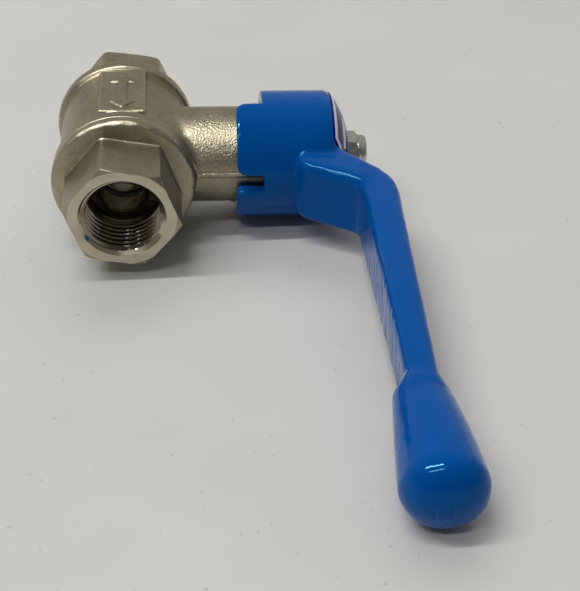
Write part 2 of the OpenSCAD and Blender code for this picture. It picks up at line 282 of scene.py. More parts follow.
def carve(name, distance, low, high, step):
    """Mesh of a distance field inside a box; its points are drawn onto the true surface."""
    step = step * 1
    axes = [np.arange(a, b + step, step) for a, b in zip(low, high)]
    p = np.stack(np.meshgrid(*axes, indexing="ij"), axis=-1)
    field = np.concatenate([distance(p[i:i + 16]) for i in range(0, len(p), 16)])
    points, quads = surface_net(field.astype(np.float32), low, step)
    reach = 0.02
    for _ in range(4):
        d = distance(points)
        rise = [distance(points + reach * e) - distance(points - reach * e) for e in np.eye(3)]
        slope = np.stack([r / (2 * reach) for r in rise], axis=1)
        move = d[:, None] * slope / np.maximum((slope ** 2).sum(axis=1), 0.2)[:, None]
        length = np.linalg.norm(move, axis=1)[:, None]
        points = points - move * np.minimum(1, 0.4 * step / np.maximum(length, 1e-9))
    return make_mesh(name, points, quads)


ANGLES = np.linspace(0, 2 * math.pi, 600, endpoint=False)
SHARP_ANGLE = 30


def turned(name, rows, axis):
    """Closed mesh of revolution. Each row is (radius, height); either may change with the angle."""
    n = len(ANGLES)
    points = []
    for radius, height in rows:
        radius = np.broadcast_to(radius, n)
        height = np.broadcast_to(height, n)
        u, v = radius * np.cos(ANGLES), radius * np.sin(ANGLES)
        points.append(np.stack([u, height, v] if axis == "Y" else [height, u, v], axis=1))
    k = np.arange(n)
    quads = []
    for row in range(len(rows)):
        a, b = row * n, (row + 1) % len(rows) * n
        quads.append(np.stack([a + k, a + (k + 1) % n, b + (k + 1) % n, b + k], axis=1))
    obj = make_mesh(name, np.concatenate(points), np.concatenate(quads), SHARP_ANGLE)
    face_outwards(obj)
    return obj


def face_outwards(obj):
    """Turns a closed mesh right side out, by the sign of its volume."""
    mesh = obj.data
    corners = np.zeros(len(mesh.vertices) * 3)
    mesh.vertices.foreach_get("co", corners)
    corners = corners.reshape(-1, 3)
    quads = np.array([p.vertices[:] for p in mesh.polygons])
    a, b, c, d = (corners[quads[:, i]] for i in range(4))
    volume = (np.cross(b - a, c - a) * a).sum() + (np.cross(c - a, d - a) * a).sum()
    if volume < 0:
        mesh.flip_normals()


def hex_radius(half, turn, sharpness=90):
    """Radius of a hexagon with slightly rounded corners, at each angle."""
    total = 0
    for k in range(6):
        facing = np.cos(ANGLES - turn - math.radians(30 + 60 * k))
        total = total + np.maximum(facing, 0) ** sharpness
    return half / total ** (1 / sharpness)


def close_shell(obj):
    """Closes the open ends of a mesh and turns its faces outwards."""
    shell = bmesh.new()
    shell.from_mesh(obj.data)
    bmesh.ops.holes_fill(shell, edges=[e for e in shell.edges if e.is_boundary])
    bmesh.ops.recalc_face_normals(shell, faces=shell.faces)
    shell.to_mesh(obj.data)
    shell.free()
    return obj


def push_points(obj, shift):
    """Moves each point along its normal by shift(place, normal), in millimetres."""
    normals = [v.normal.copy() for v in obj.data.vertices]
    for vertex, normal in zip(obj.data.vertices, normals):
        vertex.co = vertex.co + normal * shift(vertex.co / MM, normal) * MM


def coat_waves(p, normal):
    """Uneven thickness of the coat, in waves of three lengths."""
    waves = (7.0, 0.04), (2.0, 0.045), (1.3, 0.02)
    return sum(height * noise.noise(p / length) for length, height in waves)


def wrinkled_edge(p, normal):
    """Uneven build-up of the coat along the front upper edge of the arm."""
    if 43 < p.x < 60 and -30 < p.y < -15 and p.z > 4 and normal.y < -0.1:
        return 0.14 * math.exp(-((p.z - 7.6) / 1.3) ** 2) * noise.noise(p / 1.7)
    return 0


def runs(p, normal):
    """Slanting runs in the coat on the side of the bar that faces the pipe."""
    if normal.x < -0.6 and -97 < p.y < -28:
        along, across = 0.5 * p.y + 0.87 * p.z, 0.87 * p.y - 0.5 * p.z
        return 0.13 * noise.noise(Vector((across / 1.5, along / 9, 0)))
    return 0


def finish_piece(obj, body, material, replaced=()):
    """Attaches a new piece to its body, gives it its finish and hides the CAD nodes that it stands
    for.
    """
    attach(obj, body)
    if replaced:
        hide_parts(*replaced)
    obj.data.materials.clear()
    obj.data.materials.append(material)
    return obj


# ---------------------------------------------------------------- finishes

def set_span(node, low, high, to_low, to_high):
    """The two spans of a map range node."""
    spans = {"From Min": low, "From Max": high, "To Min": to_low, "To Max": to_high}
    for key, value in spans.items():
        node.inputs[key].default_value = value


class Finish:
    """A node material, built up step by step."""

    def __init__(self, name, **sockets):
        self.material = bpy.data.materials.new(name)
        self.material.use_nodes = True
        self.tree = self.material.node_tree
        self.shader = self.tree.nodes["Principled BSDF"]
        for key, value in sockets.items():
            self.shader.inputs[key.replace("_", " ")].default_value = value
        self.coordinates = self.add("ShaderNodeTexCoord").outputs["Object"]
        self.normal = None

    def add(self, kind, **settings):
        """A new node with these settings."""
        node = self.tree.nodes.new(kind)
        for key, value in settings.items():
            setattr(node, key, value)
        return node

    def link(self, source, target):
        self.tree.links.new(source, target)

    def noise(self, size_mm, detail=3.0, roughness=0.55, stretch=(1, 1, 1)):
        """Noise whose features are about that many millimetres across."""
        scale = self.add("ShaderNodeMapping")
        scale.inputs["Scale"].default_value = [1 / (size_mm * MM * s) for s in stretch]
        self.link(self.coordinates, scale.inputs["Vector"])
        texture = self.add("ShaderNodeTexNoise")
        texture.inputs["Scale"].default_value = 1.0
        texture.inputs["Detail"].default_value = detail
        texture.inputs["Roughness"].default_value = roughness
        self.link(scale.outputs["Vector"], texture.inputs["Vector"])
        return texture.outputs["Fac"]

    def edges(self):
        """How far a point stands out, 0.5 on flat ground and more on an edge."""
        return self.add("ShaderNodeNewGeometry").outputs["Pointiness"]

    def span(self, source, low, high, to_low, to_high):
        """A value mapped from one span to another, kept inside it."""
        node = self.add("ShaderNodeMapRange")
        set_span(node, low, high, to_low, to_high)
        self.link(source, node.inputs["Value"])
        return node.outputs["Result"]

    def mix(self, factor, a, b):
        """A colour between two colours or outputs."""
        node = self.add("ShaderNodeMix", data_type="RGBA")
        self.link(factor, node.inputs["Factor"])
        for socket, value in ((node.inputs["A"], a), (node.inputs["B"], b)):
            if isinstance(value, (tuple, list)):
                socket.default_value = (*value, 1)
            else:
                self.link(value, socket)
        return node.outputs["Result"]

    def coordinate(self, name):
        """One of X, Y and Z in metres, in the row frame."""
        node = self.add("ShaderNodeSeparateXYZ")
        self.link(self.coordinates, node.inputs["Vector"])
        return node.outputs[name]

    def bump(self, height, depth_mm, strength=1.0):
        """Adds a relief of that depth on top of the earlier ones."""
        node = self.add("ShaderNodeBump")
        node.inputs["Distance"].default_value = depth_mm * MM
        if isinstance(strength, (int, float)):
            node.inputs["Strength"].default_value = strength
        else:
            self.link(strength, node.inputs["Strength"])
        self.link(height, node.inputs["Height"])
        if self.normal:
            self.link(self.normal, node.inputs["Normal"])
        self.normal = node.outputs["Normal"]

    def done(self, colour, roughness):
        """The material, with its colour, roughness and relief on the shader."""
        self.link(colour, self.shader.inputs["Base Color"])
        self.link(roughness, self.shader.inputs["Roughness"])
        self.link(self.normal, self.shader.inputs["Normal"])
        return self.material


def cast_nickel():
    """Satin nickel over a blasted casting, coarser on the neck, brighter on its edges (partly
    rubbed wear, partly painted highlight) and darker in its recesses as painted shade.
    """
    f = Finish("cast_nickel", Metallic=1.0)
    stains = f.noise(7.0, detail=4)
    fine = f.noise(0.4, detail=2)
    coarse = f.noise(0.5, detail=2)
    neck = f.span(f.coordinate("X"), (BARREL_R - 0.1) * MM, (BARREL_R + 1.1) * MM, 0, 1)
    plain = f.mix(f.span(stains, 0.35, 0.7, 0, 1), (0.37, 0.335, 0.24), (0.45, 0.405, 0.295))
    dull = f.mix(f.span(f.noise(1.1, detail=4), 0.42, 0.62, 0, 0.35), plain, (0.24, 0.215, 0.15))
    # Partly rubbed wear, partly painted highlight: edges, where pointiness is high, are brightened
    # towards (0.68, 0.62, 0.49).
    rubbed_and_highlit = f.mix(f.span(f.edges(), 0.52, 0.6, 0, 1), dull, (0.68, 0.62, 0.49))
    # Painted shade: recesses, where pointiness is low, are darkened towards (0.17, 0.15, 0.10).
    colour = f.mix(f.span(f.edges(), 0.44, 0.495, 0, 1), (0.17, 0.15, 0.10), rubbed_and_highlit)
    f.bump(f.noise(2.6, detail=2), 0.09, 0.6)
    f.bump(fine, 0.10, 0.8)
    f.bump(coarse, 0.16, f.span(neck, 0, 1, 0.1, 1.0))
    return f.done(colour, f.span(stains, 0.3, 0.7, 0.33, 0.43))


def machined_nickel():
    """Turned and plated faces: shiny, with fine tool rings about the pipe."""
    f = Finish("machined_nickel", Metallic=1.0)
    stains = f.noise(5.0, detail=4)
    rings = f.noise(0.12, detail=1, stretch=(400, 1, 400))
    colour = f.mix(f.span(stains, 0.35, 0.7, 0, 1), (0.46, 0.42, 0.32), (0.57, 0.52, 0.41))
    f.bump(rings, 0.012, 0.6)
    f.bump(f.noise(0.5), 0.02, 0.4)
    return f.done(colour, f.span(stains, 0.3, 0.7, 0.13, 0.22))


def shaded_threaded_nickel():
    """Plated thread inside a port, coloured dark as painted shade."""
    f = Finish("shaded_threaded_nickel", Metallic=1.0)
    stains = f.noise(3.0, detail=4)
    # Painted shade: the thread's colours are darker than the turned nickel's, for the shade inside
    # the port.
    colour = f.mix(f.span(stains, 0.35, 0.7, 0, 1), (0.21, 0.185, 0.13), (0.35, 0.31, 0.23))
    f.bump(f.noise(0.12, detail=1, stretch=(400, 1, 400)), 0.012, 0.6)
    f.bump(f.noise(0.5), 0.03, 0.4)
    return f.done(colour, f.span(stains, 0.3, 0.7, 0.12, 0.2))


def blue_coating():
    """Thick glossy blue coat with an orange-peel surface."""
    f = Finish("blue_coating", Metallic=0.0, Specular_IOR_Level=0.3,
               Specular_Tint=(0.2, 0.8, 1.0, 1.0))
    clouds = f.noise(14.0, detail=2)
    colour = f.mix(f.span(clouds, 0.3, 0.7, 0, 1), (0.0, 0.074, 0.335), (0.0, 0.082, 0.365))
    lit = f.mix(f.span(f.edges(), 0.5, 0.62, 0, 1), colour, (0.0, 0.095, 0.40))
    f.bump(f.noise(2.0, detail=2), 0.04, 0.7)
    return f.done(lit, f.span(clouds, 0.3, 0.7, 0.04, 0.07))


def badge_navy():
    """Navy print under a film."""
    f = Finish("badge_navy", Metallic=0.0, Specular_IOR_Level=0.25,
               Specular_Tint=(0.4, 0.4, 1.0, 1.0))
    flecks = f.noise(1.5, detail=3)
    colour = f.mix(f.span(flecks, 0.35, 0.7, 0, 1), (0.004, 0.005, 0.15), (0.007, 0.008, 0.20))
    f.bump(f.noise(3.0, detail=1), 0.02, 0.5)
    return f.done(colour, f.span(flecks, 0.3, 0.7, 0.16, 0.24))


def badge_white():
    """White screen print."""
    f = Finish("badge_white", Metallic=0.0)
    flecks = f.noise(0.6, detail=3)
    colour = f.mix(f.span(flecks, 0.3, 0.75, 0, 1), (0.70, 0.71, 0.76), (0.85, 0.86, 0.90))
    f.bump(flecks, 0.01, 0.4)
    return f.done(colour, f.span(flecks, 0.3, 0.7, 0.35, 0.5))


def zinc():
    """Bright zinc plate with a dull bloom."""
    f = Finish("zinc", Metallic=1.0)
    bloom = f.noise(1.6, detail=5, roughness=0.7)
    colour = f.mix(f.span(bloom, 0.35, 0.7, 0, 1), (0.50, 0.52, 0.48), (0.72, 0.74, 0.69))
    f.bump(f.noise(0.25, detail=2), 0.02, 0.6)
    return f.done(colour, f.span(bloom, 0.3, 0.7, 0.2, 0.34))


def brass():
    """Turned brass."""
    f = Finish("turned_brass", Metallic=1.0)
    stains = f.noise(3.0, detail=4)
    colour = f.mix(f.span(stains, 0.35, 0.7, 0, 1), (0.60, 0.42, 0.17), (0.72, 0.54, 0.26))
    f.bump(f.noise(0.15, detail=1, stretch=(1, 60, 60)), 0.012, 0.6)
    return f.done(colour, f.span(stains, 0.3, 0.7, 0.24, 0.36))


def ball_chrome():
    """Polished hard chrome with faint wear rings."""
    f = Finish("ball_chrome", Metallic=1.0)
    wear = f.noise(2.5, detail=3, stretch=(3, 1, 3))
    colour = f.mix(f.span(wear, 0.35, 0.7, 0, 1), (0.40, 0.40, 0.39), (0.52, 0.52, 0.51))
    f.bump(wear, 0.01, 0.3)
    return f.done(colour, f.span(wear, 0.3, 0.7, 0.06, 0.16))


def ptfe():
    """Waxy white fluoropolymer."""
    f = Finish("ptfe", Metallic=0.0, Subsurface_Weight=0.1)
    clouds = f.noise(2.0, detail=3)
    colour = f.mix(f.span(clouds, 0.35, 0.7, 0, 1), (0.50, 0.49, 0.45), (0.60, 0.59, 0.55))
    f.bump(f.noise(0.2, detail=2), 0.01, 0.5)
    return f.done(colour, f.span(clouds, 0.3, 0.7, 0.42, 0.55))


def rubber():
    """Matte black seal rubber."""
    f = Finish("seal_rubber", Metallic=0.0)
    dust = f.noise(0.5, detail=4)
    colour = f.mix(f.span(dust, 0.4, 0.75, 0, 1), (0.012, 0.012, 0.013), (0.035, 0.034, 0.033))
    f.bump(dust, 0.01, 0.5)
    return f.done(colour, f.span(dust, 0.3, 0.7, 0.5, 0.7))


def nylon():
    """Blue nylon of the locking ring."""
    f = Finish("nylon", Metallic=0.0)
    clouds = f.noise(0.8, detail=3)
    colour = f.mix(f.span(clouds, 0.35, 0.7, 0, 1), (0.05, 0.12, 0.30), (0.08, 0.17, 0.38))
    f.bump(clouds, 0.01, 0.5)
    return f.done(colour, f.span(clouds, 0.3, 0.7, 0.4, 0.55))


def bench_top():
    """Pale table top with faint specks."""
    f = Finish("bench_top", Metallic=0.0)
    haze = f.noise(60.0, detail=3)
    specks = f.noise(2.2, detail=2)
    plain = f.mix(f.span(haze, 0.3, 0.7, 0, 1), (0.60, 0.595, 0.575), (0.64, 0.635, 0.615))
    colour = f.mix(f.span(specks, 0.69, 0.75, 0, 0.45), plain, (0.30, 0.28, 0.25))
    f.bump(f.noise(0.8, detail=2), 0.02, 0.4)
    return f.done(colour, f.span(haze, 0.3, 0.7, 0.5, 0.6))


FINISHES = {
    "nickel": cast_nickel(), "machined": machined_nickel(), "threaded": shaded_threaded_nickel(),
    "blue": blue_coating(), "navy": badge_navy(), "white": badge_white(), "zinc": zinc(),
    "brass": brass(), "chrome": ball_chrome(), "ptfe": ptfe(), "rubber": rubber(), "nylon": nylon(),
}
KEPT_NODES = {
    "ball": "chrome", "inlet_seat": "ptfe", "outlet_seat": "ptfe", "body_o_ring": "rubber",
    "stem": "brass", "stem_thrust_washer": "ptfe", "stem_o_ring_lower": "rubber",
    "stem_o_ring_upper": "rubber", "packing_ring_lower": "ptfe", "packing_ring_middle": "ptfe",
    "packing_ring_upper": "ptfe", "gland_ring": "brass", "gland_nut": "brass",
    "handle_washer": "zinc", "nut_insert": "nylon",
}


def dress_cad_nodes():
    """New finishes for the CAD nodes whose shape stays."""
    for node, finish in KEPT_NODES.items():
        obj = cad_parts[node]
        for slot in obj.material_slots:
            slot.link = "DATA"
        obj.data.materials.clear()
        obj.data.materials.append(FINISHES[finish])


# ---------------------------------------------------------------- housing

def arrow_points():
    """Double-headed arrow along Y, for the pad on the barrel."""
    middle, half, head, wide, thin = 2.4, 8.6, 3.6, 3.4, 1.1
    right = [(0, half), (wide, half - head), (thin, half - head), (thin, head - half),
             (wide, head - half), (0, -half)]
    left = [(-x, y) for x, y in right[::-1][1:-1]]
    return [(x, middle + y) for x, y in right + left]


def body_distance(p):
    """Distance to the cast body."""
    x, y, z = p[..., 0], p[..., 1], p[..., 2]
    pipe = np.hypot(x, z)
    stem = np.hypot(y, z)
    barrel = rod(pipe, y, BARREL_R, CAP_FLANGE_BACK + 0.05, REAR_FLANGE_BACK - 1, 0.5)
    collar = rod(pipe, y, REAR_FLANGE_R, CAP_FLANGE_BACK + 0.05, COLLAR_END, 0.4)
    flange = rod(pipe, y, REAR_FLANGE_R, REAR_FLANGE_FRONT, REAR_FLANGE_BACK, 0.45)
    bevel = (pipe - REAR_FLANGE_R + 1.2 + y - REAR_FLANGE_BACK) * math.sqrt(0.5)
    shape = join(join(barrel, collar, 1.2), both(flange, bevel, 0.8), 1.5)
    cone = (pipe - HEX_FACE_R - (OUTLET_FACE - y) / math.tan(CHAMFER)) * math.sin(CHAMFER)
    nut = both(hexagon(x, z, HEX_HALF, REAR_HEX_TURN), cone, 0.4)
    nut = both(nut, np.maximum(y - OUTLET_FACE + 0.06, REAR_FLANGE_FRONT - y), 0.4)
    shape = join(shape, nut, 1.6)
    neck = rod(stem, x, NECK_R, 0, NECK_TOP, 0.6)
    shape = join(shape, neck, 2.2)
    facing = -y * math.cos(SEAM_TURN) + z * math.sin(SEAM_TURN)
    across = y * math.sin(SEAM_TURN) + z * math.cos(SEAM_TURN)
    seam = np.maximum(np.abs(across) - SEAM_HALF_W, np.abs(facing) - NECK_R - SEAM_H)
    seam = np.maximum(seam, np.maximum(BARREL_R - x, x - NECK_TOP + 0.6))
    shape = join(shape, seam, 0.25)
    lug = rod(stem, x, LUG_R, LUG_BOTTOM, SKIRT_BOTTOM - 0.6, 0.5)
    lug = np.maximum(lug, np.maximum(0.3 - y, z + 0.3))
    shape = join(shape, lug, 0.6)
    pad = block(p, PAD_LOW, PAD_HIGH, 0.45)
    shape = join(shape, pad, 0.6)
    arrow = np.maximum(outline(x, y, arrow_points()), np.abs(z - ARROW_Z) - ARROW_HALF_H)
    shape = join(shape, arrow, 0.2)
    cap_room = rod(pipe, y, CAP_FLANGE_R + 0.3, CAP_FLANGE_FRONT - 1, CAP_FLANGE_BACK, 0.1)
    shape = np.maximum(shape, -cap_room)
    for radius, low, high in PIPE_BORES:
        shape = without(shape, rod(pipe, y, radius, low, high, 0.1), 0.2)
    for radius, low, high in STEM_BORES:
        shape = without(shape, rod(stem, x, radius, low, high, 0.1), 0.2)
    return shape


def thread_radius(height):
    """Radius of the G1/2 thread in a port at each angle, at one height along it."""
    turn = (height / PORT_PITCH - ANGLES / (2 * math.pi)) % 1
    ramp = np.clip((np.abs(2 * turn - 1) - 0.5) * 1.3 + 0.5, 0, 1)
    return PORT_MINOR_R + (PORT_MAJOR_R - PORT_MINOR_R) * ramp * ramp * (3 - 2 * ramp)


def port_rows(face, sign):
    """Rows down a port from its mouth to the shoulder. sign is +1 where +Y is inwards."""
    rows = []
    bevel = PORT_MOUTH_R - PORT_MINOR_R
    end = PORT_DEPTH - 1.7
    for depth in np.arange(0, end, PORT_PITCH / 20):
        radius = thread_radius(depth * sign)
        if depth < bevel:
            radius = np.maximum(radius, PORT_MOUTH_R - depth)
        fade = min(1, (end - depth) / 1.2)
        rows.append((PORT_MINOR_R + (radius - PORT_MINOR_R) * fade, face + sign * depth))
    inner = face + sign * PORT_DEPTH
    groove = PORT_GROOVE_R
    rows += [(PORT_MINOR_R, face + sign * end), (groove, face + sign * (end + 0.25)),
             (groove, inner - sign * 0.35), (groove - 0.35, inner), (PASSAGE_R + 0.5, inner),
             (PASSAGE_R, inner + sign * 0.5)]
    return rows


def make_end_cap():
    """Inlet end cap: hexagon, flange, spigot and threaded port in one turned mesh."""
    blunt = np.exp(-((np.degrees(ANGLES) - 110) / 20) ** 2)    # one corner is worn rounder
    hexagonal = hex_radius(HEX_HALF, CAP_HEX_TURN, 90 - 56 * blunt)
    wobble = 0.06 * np.sin(3 * ANGLES + 1) + 0.05 * np.sin(11 * ANGLES) + 0.05 * np.sin(29 * ANGLES)
    front, back, rim = CAP_FLANGE_FRONT, CAP_FLANGE_BACK, CAP_FLANGE_R
    rows = port_rows(INLET_FACE, 1)
    rows += [(PASSAGE_R, -SEAT_BACK), (SEAT_R, -SEAT_BACK), (SEAT_R, SPIGOT_END),
             (SPIGOT_R - 0.2, SPIGOT_END), (SPIGOT_R, SPIGOT_END - 0.2), (SPIGOT_R, back + 1.6),
             (SPIGOT_UNDERCUT_R, back + 1.6), (SPIGOT_UNDERCUT_R, back),
             (rim - 0.45, back), (rim - 0.12, back - 0.12), (rim, back - 0.45),
             (rim, front + 1.2)]
    rounding, fillet = 1.1, 0.6
    for k in range(1, 9):
        a = math.radians(90 * k / 8)
        dent = (wobble - 0.16) * math.sin(2 * a)
        rows.append((rim - rounding * (1 - math.cos(a)) + dent,
                     front + rounding * (1 - math.sin(a))))
    for k in range(9):
        a = math.radians(90 * k / 8)
        rows.append((hexagonal + fillet * (1 - math.sin(a)), front - fillet * (1 - math.cos(a))))
    for height in np.concatenate([np.linspace(front - 1.6, INLET_FACE + 1.6, 8),
                                  np.linspace(INLET_FACE + 1.5, INLET_FACE + 0.06, 24)]):
        cone = HEX_FACE_R + (height - INLET_FACE) / math.tan(CHAMFER)
        rows.append((smooth_least(hexagonal, cone), height))
    rows.append((smooth_least(hexagonal, HEX_FACE_R) - 0.08, INLET_FACE))
    rows.append((PORT_MOUTH_R + 0.06, INLET_FACE))
    return turned("end_cap_shell", rows, "Y")


def smooth_least(a, b, soft=0.06):
    """The lesser of two radii, eased where they meet."""
    return join(a, np.broadcast_to(b, a.shape), soft)


def make_outlet_port():
    """Threaded wall and machined face of the body's own port."""
    rows = port_rows(OUTLET_FACE, -1)
    inner = OUTLET_FACE - PORT_DEPTH - 0.8
    rows += [(PASSAGE_R, inner), (OUTLET_WALL_R, inner), (OUTLET_WALL_R, OUTLET_FACE - 0.3),
             (12.3, OUTLET_FACE - 0.2), (12.6, OUTLET_FACE), (PORT_MOUTH_R + 0.06, OUTLET_FACE)]
    return turned("outlet_port_thread", rows, "Y")


# ---------------------------------------------------------------- handle

def handle_distance(p):
    """Distance to the coated handle."""
    x, y, z = p[..., 0], p[..., 1], p[..., 2]
    stem = np.hypot(y, z)
    hub = rod(stem, x, HUB_R, TAB_BOTTOM, DOME_TOP + 3, 0.6)
    dome = np.sqrt((x - DOME_CENTRE) ** 2 + stem ** 2) - (DOME_R - BADGE_H + 0.08)
    hub = both(hub, dome, 0.9)
    arc = np.arctan2(z, -y) * UNROLLED_R
    upper, lower = (slab(arc, x, *(math.radians(a) * UNROLLED_R for a in ends), corner)
                    for ends, corner in zip(TAB_EDGES, TAB_CORNERS))
    skirt = join(np.minimum(upper, lower), SKIRT_BOTTOM - x, 0.4)
    hub = both(hub, skirt, 0.7)
    shape = join(hub, arm_distance(x, y, z), 1.0)
    blend = 2.0 - 0.6 * np.clip((x - 60) / 3, 0, 1)
    shape = join(shape, grip_distance(x, y, z), blend)
    shape = without(shape, rod(stem, x, CAVITY_R, 20, CAVITY_TOP, 1.0), 0.7)
    shape = without(shape, rod(stem, x, BADGE_HOLE_R, NUT_SEAT, 70, 0.2), 0.5)
    slot = np.maximum(rod(stem, x, STEM_SLOT_R, 40, 60, 0.1), np.abs(z) - STEM_SLOT_HALF_W)
    return without(shape, slot, 0.2)


def slab(arc, x, low, high, edge):
    """Distance to a rounded tab on the unrolled skirt."""
    across = np.abs(arc - (low + high) / 2) - ((high - low) / 2 - edge)
    beyond = TAB_BOTTOM + edge - x
    inside = np.minimum(np.maximum(across, beyond), 0)
    return inside + np.hypot(np.maximum(across, 0), np.maximum(beyond, 0)) - edge


def arm_points():
    """Side outline of arm and bar, in X and Y."""
    return ([(55.2, -10.0), (ARM_INNER_X, -13.0)]
            + curve((ARM_INNER_X, -15.6), (ARM_INNER_X, -18.2), (45.6, -19.6), 5)
            + curve((57.3, -26.5), (58.9, ELBOW_Y), (58.95, -29.5), 3)
            + [(59.3, -102.0), (66.3, -102.0), (67.8, -36.0)]
            + curve((67.95, -33.0), (68.3, -26.6), (66.1, -23.0))
            + [(64.6, -20.6)])


def arm_distance(x, y, z):
    """Arm and bar: the outline between two flanks, which lean in along the bar."""
    side = outline(x, y, arm_points())
    t = np.clip((ELBOW_Y - y) / BAR_LENGTH, 0, 1)
    half_width = ARM_HALF_W - np.where(z > 0, *ARM_NARROWING) * t
    u, v = np.abs(z) - half_width + ARM_CORNER_R, ARM_INNER_X + ARM_CORNER_R - x
    inside = np.minimum(np.maximum(u, v), 0)
    flank = inside + np.hypot(np.maximum(u, 0), np.maximum(v, 0)) - ARM_CORNER_R
    return both(side, flank, 2.4 + 0.8 * np.clip(z / 4, -1, 1))


def grip_distance(x, y, z):
    """Swelling cone with a round edge and a flatter end."""
    radial = np.hypot(x - GRIP_X - GRIP_LEAN * np.maximum(GRIP_EDGE_Y - y, 0), z)
    t = np.clip((GRIP_START_Y - y) / (GRIP_START_Y - GRIP_EDGE_Y), 0, 1)
    sunk = 0.6 * np.clip((x - 60) / 3, 0, 1) * (1 - t) ** 4
    side = radial + sunk - GRIP_START_R - (GRIP_R - GRIP_START_R) * (1 - (1 - t) ** 1.2)
    beyond = GRIP_EDGE_Y - y
    from_edge = radial - (GRIP_R - GRIP_EDGE_R)
    edge = np.hypot(from_edge, beyond) - GRIP_EDGE_R
    end = np.hypot(radial, y - GRIP_END_Y) - GRIP_END_R
    end = np.where(beyond > from_edge * math.tan(GRIP_EDGE_TURN), end, edge)
    body = np.where(beyond > 0, end, side)
    return both(body, y - (GRIP_START_Y + 0.6), 3.0)


SCAR_HALF_W, SCAR_H, SCAR_ROOT = 0.42, 0.31, 0.12
# points of each ridge in X and Z
SCAR_RIDGES = (((60.1, 2.7), (60.9, 1.3), (60.5, -0.6), (61.3, -3.8)),
               ((64.3, 4.2), (64.0, 1.8), (63.7, -2.1), (62.9, -5.6)))


def make_scar(name, ridge):
    """Low ridge that the mould left on the end of the grip, tapering to its ends."""
    way = np.array(ridge)
    steps = np.linspace(0, len(way) - 1, 33)
    course = np.stack([np.interp(steps, range(len(way)), way[:, k]) for k in range(2)], axis=1)
    for _ in range(6):
        course[1:-1] = (course[:-2] + 2 * course[1:-1] + course[2:]) / 4
    heading = np.gradient(course, axis=0)
    heading /= np.linalg.norm(heading, axis=1)[:, None]
    aside = np.stack([heading[:, 1], -heading[:, 0]], axis=1)
    taper = np.sqrt(np.clip(np.sin(np.linspace(0.05, math.pi - 0.05, len(course))), 0, 1))[:, None]
    rows = []
    for k in range(9):
        a = math.pi * k / 8
        spot = course + aside * SCAR_HALF_W * math.cos(a) * taper
        lift = SCAR_H * math.sin(a) * taper[:, 0] - SCAR_ROOT
        x = spot[:, 0] - GRIP_X - SCAR_LEAN
        surface = GRIP_END_Y - np.sqrt(GRIP_END_R ** 2 - x ** 2 - spot[:, 1] ** 2)
        rows.append(np.stack([spot[:, 0], surface - lift, spot[:, 1]], axis=1))
    rings, n = len(rows), len(course)
    faces = []
    for r in range(rings):
        after = (r + 1) % rings
        faces += [(r * n + k, r * n + k + 1, after * n + k + 1, after * n + k)
                  for k in range(n - 1)]
    return close_shell(make_mesh(name, np.concatenate(rows), faces))


# ---------------------------------------------------------------- badge and nut

PRINT_LIFT, PRINT_ROOT = 0.02, 0.1


def badge_edge(radius, chord):
    """Outer radius of the badge at each angle, cut straight on the arm's side."""
    towards_arm = -np.cos(ANGLES)
    straight = np.where(towards_arm > 0.01, chord / np.maximum(towards_arm, 0.01), 1e9)
    return np.minimum(radius, straight)


def dome_height(radius, lift=0.0):
    """Height of the badge's dome at a radius, or of a dome that much above it."""
    return DOME_CENTRE + np.sqrt((DOME_R + lift) ** 2 - radius ** 2)


def dome_rows(inner, outer, lift, count):
    """Rows across the dome from one radius to another."""
    radii = [inner + (outer - inner) * t for t in np.linspace(0, 1, count)]
    return [(radius, dome_height(radius, lift)) for radius in radii]


def make_badge():
    """Domed badge plate that lies on the hub."""
    outer, bevel = badge_edge(DOME_RIM_R - 0.03, BADGE_CHORD), 0.12
    rows = dome_rows(BADGE_HOLE_R, outer - bevel, 0, 14)
    rows.append((outer, dome_height(outer, -bevel)))
    rows += dome_rows(BADGE_HOLE_R, outer, -BADGE_H, 14)[::-1]
    return turned("badge_plate", rows, "X")


def print_rows(inner, outer, count):
    """Section of a thin print that stands on the dome and is sunk into it a little."""
    return (dome_rows(inner, outer, PRINT_LIFT, count)
            + dome_rows(inner, outer, -PRINT_ROOT, count)[::-1])


def print_bar(name, start, end, inner, outer):
    """Thin printed bar on the badge that runs round the hole from one angle to another."""
    loop = print_rows(inner, outer, 5)
    angles = np.radians(np.linspace(start, end, 24))
    points = [(x, r * math.cos(a), r * math.sin(a)) for a in angles for r, x in loop]
    n, last = len(loop), (len(angles) - 1) * len(loop)
    faces = [list(range(n)), list(range(last + n - 1, last - 1, -1))]
    for k in range(len(angles) - 1):
        faces += [[k * n + i, (k + 1) * n + i, (k + 1) * n + (i + 1) % n, k * n + (i + 1) % n]
                  for i in range(n)]
    return close_shell(add_mesh(name, points, faces))


def make_badge_print():
    """White edge line, hole line and three plain bars."""
    edge = print_rows(badge_edge(14.95, 10.75), badge_edge(15.9, 11.7), 4)
    pieces = [turned("badge_edge_line", edge, "X"),
              turned("badge_hole_line", print_rows(7.1, 7.6, 4), "X")]
    for k, (start, end) in enumerate(((35, 80), (100, 145), (-80, -35))):
        pieces.append(print_bar(f"badge_bar_{k + 1}", start, end, 10.2, 11.8))
    return pieces


